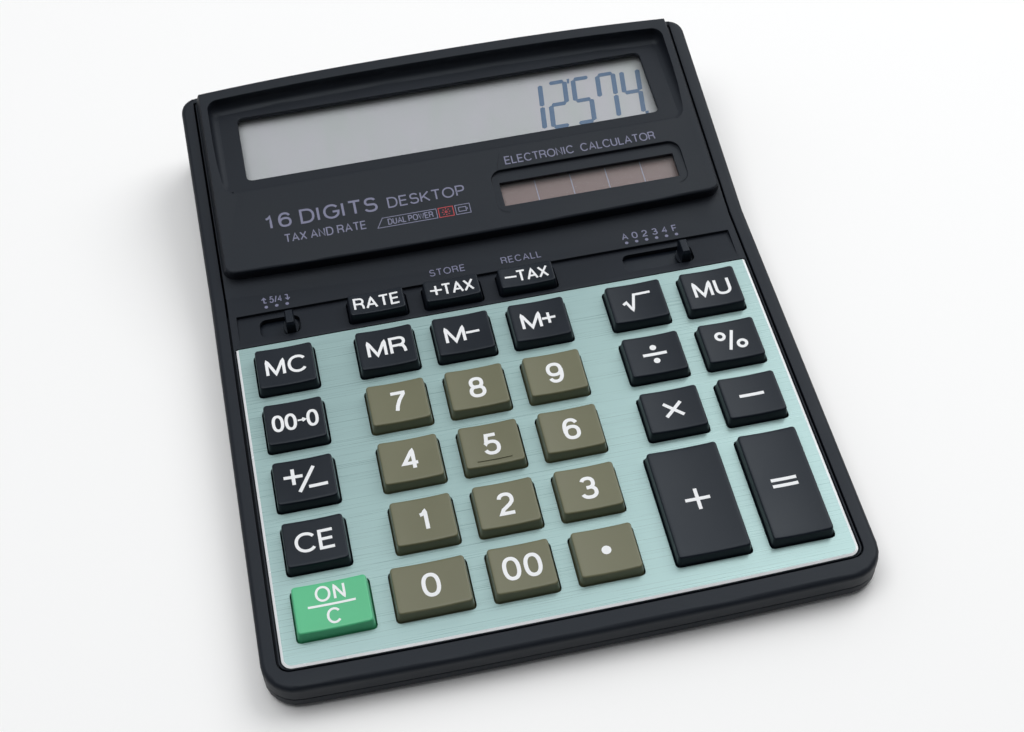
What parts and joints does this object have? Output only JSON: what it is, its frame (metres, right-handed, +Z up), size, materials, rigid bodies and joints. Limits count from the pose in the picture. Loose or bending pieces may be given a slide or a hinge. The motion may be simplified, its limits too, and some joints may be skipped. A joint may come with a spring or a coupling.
{
  "type": "desktop calculator",
  "caption": "Wedge-shaped desktop calculator with sprung keys on a brushed faceplate, slide switches and a raised tilted display with a solar cell.",
  "frame": {"origin": "on the table under the middle of the case", "axes": "+Z up, +X to the user's right, -Y towards the user"},
  "size_m": [0.158, 0.2054, 0.031],
  "materials": {
    "black_plastic": "fine satin texture, near black",
    "black_key": "satin, slightly dished tops",
    "olive_key": "satin olive brown",
    "green_key": "satin mint green",
    "brushed_plate": "brushed side to side, pale teal anodised, bright bevelled edge",
    "clear_lens": "clear acrylic",
    "lcd_face": "grey-green liquid crystal glass",
    "reflector_film": "matt foil",
    "solar_glass": "brown amorphous cell with thin conductor lines",
    "keypad_rubber": "grey silicone rubber",
    "circuit_board": "green solder mask",
    "black_epoxy": "domed potting resin",
    "ribbon_film": "flexible printed film",
    "cell_steel": "nickel-plated can",
    "spring_steel": "plated spring strip",
    "screw_steel": "zinc-plated screw",
    "black_rubber": "soft black rubber"
  },
  "bodies": {
    "case": {"top_case": "black_plastic", "front_panel": "black_plastic", "faceplate": "brushed_plate", "bottom_case": "black_plastic", "display_window": "clear_lens", "lcd_glass": "lcd_face", "lcd_reflector": "reflector_film", "zebra_strip": "black_rubber", "display_board": "circuit_board", "solar_window": "clear_lens", "solar_cell": "solar_glass", "rubber_keypad": "keypad_rubber", "circuit_board": "circuit_board", "chip": "black_epoxy", "ribbon_cable": "ribbon_film", "button_cell": "cell_steel", "battery_contact_positive": "spring_steel", "battery_contact_negative": "spring_steel", "foot_front_left": "black_rubber", "foot_front_right": "black_rubber", "foot_rear_left": "black_rubber", "foot_rear_right": "black_rubber", "screw_front_left": "screw_steel", "screw_front_right": "screw_steel", "screw_rear_left": "screw_steel", "screw_rear_right": "screw_steel"},
    "key_on_c": {"key_on_c": "green_key"},
    "key_ce": {"key_ce": "black_key"},
    "key_sign": {"key_sign": "black_key"},
    "key_backspace": {"key_backspace": "black_key"},
    "key_mc": {"key_mc": "black_key"},
    "key_0": {"key_0": "olive_key"},
    "key_1": {"key_1": "olive_key"},
    "key_4": {"key_4": "olive_key"},
    "key_7": {"key_7": "olive_key"},
    "key_mr": {"key_mr": "black_key"},
    "key_00": {"key_00": "olive_key"},
    "key_2": {"key_2": "olive_key"},
    "key_5": {"key_5": "olive_key"},
    "key_8": {"key_8": "olive_key"},
    "key_m_minus": {"key_m_minus": "black_key"},
    "key_point": {"key_point": "olive_key"},
    "key_3": {"key_3": "olive_key"},
    "key_6": {"key_6": "olive_key"},
    "key_9": {"key_9": "olive_key"},
    "key_m_plus": {"key_m_plus": "black_key"},
    "key_plus": {"key_plus": "black_key"},
    "key_multiply": {"key_multiply": "black_key"},
    "key_divide": {"key_divide": "black_key"},
    "key_root": {"key_root": "black_key"},
    "key_equals": {"key_equals": "black_key"},
    "key_minus": {"key_minus": "black_key"},
    "key_percent": {"key_percent": "black_key"},
    "key_mu": {"key_mu": "black_key"},
    "key_rate": {"key_rate": "black_key"},
    "key_tax_plus": {"key_tax_plus": "black_key"},
    "key_tax_minus": {"key_tax_minus": "black_key"},
    "rounding_switch": {"rounding_switch": "black_key"},
    "decimal_switch": {"decimal_switch": "black_key"},
    "battery_door": {"battery_door": "black_plastic"}
  },
  "joints": [
    {"name": "key_on_c_press", "type": "slide", "parent": "case", "child": "key_on_c", "axis": [0, 0.0262, -0.9997], "range_m": [0, 0.0012], "stiffness_N_per_m": 500},
    {"name": "key_ce_press", "type": "slide", "parent": "case", "child": "key_ce", "axis": [0, 0.0262, -0.9997], "range_m": [0, 0.0012], "stiffness_N_per_m": 500},
    {"name": "key_sign_press", "type": "slide", "parent": "case", "child": "key_sign", "axis": [0, 0.0262, -0.9997], "range_m": [0, 0.0012], "stiffness_N_per_m": 500},
    {"name": "key_backspace_press", "type": "slide", "parent": "case", "child": "key_backspace", "axis": [0, 0.0262, -0.9997], "range_m": [0, 0.0012], "stiffness_N_per_m": 500},
    {"name": "key_mc_press", "type": "slide", "parent": "case", "child": "key_mc", "axis": [0, 0.0262, -0.9997], "range_m": [0, 0.0012], "stiffness_N_per_m": 500},
    {"name": "key_0_press", "type": "slide", "parent": "case", "child": "key_0", "axis": [0, 0.0262, -0.9997], "range_m": [0, 0.0012], "stiffness_N_per_m": 500},
    {"name": "key_1_press", "type": "slide", "parent": "case", "child": "key_1", "axis": [0, 0.0262, -0.9997], "range_m": [0, 0.0012], "stiffness_N_per_m": 500},
    {"name": "key_4_press", "type": "slide", "parent": "case", "child": "key_4", "axis": [0, 0.0262, -0.9997], "range_m": [0, 0.0012], "stiffness_N_per_m": 500},
    {"name": "key_7_press", "type": "slide", "parent": "case", "child": "key_7", "axis": [0, 0.0262, -0.9997], "range_m": [0, 0.0012], "stiffness_N_per_m": 500},
    {"name": "key_mr_press", "type": "slide", "parent": "case", "child": "key_mr", "axis": [0, 0.0262, -0.9997], "range_m": [0, 0.0012], "stiffness_N_per_m": 500},
    {"name": "key_00_press", "type": "slide", "parent": "case", "child": "key_00", "axis": [0, 0.0262, -0.9997], "range_m": [0, 0.0012], "stiffness_N_per_m": 500},
    {"name": "key_2_press", "type": "slide", "parent": "case", "child": "key_2", "axis": [0, 0.0262, -0.9997], "range_m": [0, 0.0012], "stiffness_N_per_m": 500},
    {"name": "key_5_press", "type": "slide", "parent": "case", "child": "key_5", "axis": [0, 0.0262, -0.9997], "range_m": [0, 0.0012], "stiffness_N_per_m": 500},
    {"name": "key_8_press", "type": "slide", "parent": "case", "child": "key_8", "axis": [0, 0.0262, -0.9997], "range_m": [0, 0.0012], "stiffness_N_per_m": 500},
    {"name": "key_m_minus_press", "type": "slide", "parent": "case", "child": "key_m_minus", "axis": [0, 0.0262, -0.9997], "range_m": [0, 0.0012], "stiffness_N_per_m": 500},
    {"name": "key_point_press", "type": "slide", "parent": "case", "child": "key_point", "axis": [0, 0.0262, -0.9997], "range_m": [0, 0.0012], "stiffness_N_per_m": 500},
    {"name": "key_3_press", "type": "slide", "parent": "case", "child": "key_3", "axis": [0, 0.0262, -0.9997], "range_m": [0, 0.0012], "stiffness_N_per_m": 500},
    {"name": "key_6_press", "type": "slide", "parent": "case", "child": "key_6", "axis": [0, 0.0262, -0.9997], "range_m": [0, 0.0012], "stiffness_N_per_m": 500},
    {"name": "key_9_press", "type": "slide", "parent": "case", "child": "key_9", "axis": [0, 0.0262, -0.9997], "range_m": [0, 0.0012], "stiffness_N_per_m": 500},
    {"name": "key_m_plus_press", "type": "slide", "parent": "case", "child": "key_m_plus", "axis": [0, 0.0262, -0.9997], "range_m": [0, 0.0012], "stiffness_N_per_m": 500},
    {"name": "key_plus_press", "type": "slide", "parent": "case", "child": "key_plus", "axis": [0, 0.0262, -0.9997], "range_m": [0, 0.0012], "stiffness_N_per_m": 600},
    {"name": "key_multiply_press", "type": "slide", "parent": "case", "child": "key_multiply", "axis": [0, 0.0262, -0.9997], "range_m": [0, 0.0012], "stiffness_N_per_m": 500},
    {"name": "key_divide_press", "type": "slide", "parent": "case", "child": "key_divide", "axis": [0, 0.0262, -0.9997], "range_m": [0, 0.0012], "stiffness_N_per_m": 500},
    {"name": "key_root_press", "type": "slide", "parent": "case", "child": "key_root", "axis": [0, 0.0262, -0.9997], "range_m": [0, 0.0012], "stiffness_N_per_m": 500},
    {"name": "key_equals_press", "type": "slide", "parent": "case", "child": "key_equals", "axis": [0, 0.0262, -0.9997], "range_m": [0, 0.0012], "stiffness_N_per_m": 600},
    {"name": "key_minus_press", "type": "slide", "parent": "case", "child": "key_minus", "axis": [0, 0.0262, -0.9997], "range_m": [0, 0.0012], "stiffness_N_per_m": 500},
    {"name": "key_percent_press", "type": "slide", "parent": "case", "child": "key_percent", "axis": [0, 0.0262, -0.9997], "range_m": [0, 0.0012], "stiffness_N_per_m": 500},
    {"name": "key_mu_press", "type": "slide", "parent": "case", "child": "key_mu", "axis": [0, 0.0262, -0.9997], "range_m": [0, 0.0012], "stiffness_N_per_m": 500},
    {"name": "key_rate_press", "type": "slide", "parent": "case", "child": "key_rate", "axis": [0, 0.0262, -0.9997], "range_m": [0, 0.0012], "stiffness_N_per_m": 500},
    {"name": "key_tax_plus_press", "type": "slide", "parent": "case", "child": "key_tax_plus", "axis": [0, 0.0262, -0.9997], "range_m": [0, 0.0012], "stiffness_N_per_m": 500},
    {"name": "key_tax_minus_press", "type": "slide", "parent": "case", "child": "key_tax_minus", "axis": [0, 0.0262, -0.9997], "range_m": [0, 0.0012], "stiffness_N_per_m": 500},
    {"name": "rounding_switch_slide", "type": "slide", "parent": "case", "child": "rounding_switch", "axis": [-1, 0, 0], "range_m": [0, 0.006]},
    {"name": "decimal_switch_slide", "type": "slide", "parent": "case", "child": "decimal_switch", "axis": [-1, 0, 0], "range_m": [0, 0.015]},
    {"name": "battery_door_hinge", "type": "hinge", "parent": "case", "child": "battery_door", "pos_m": [-0.036, 0.0416, 0.0015], "axis": [1, 0, 0], "range_deg": [-40, 0]}
  ]
}
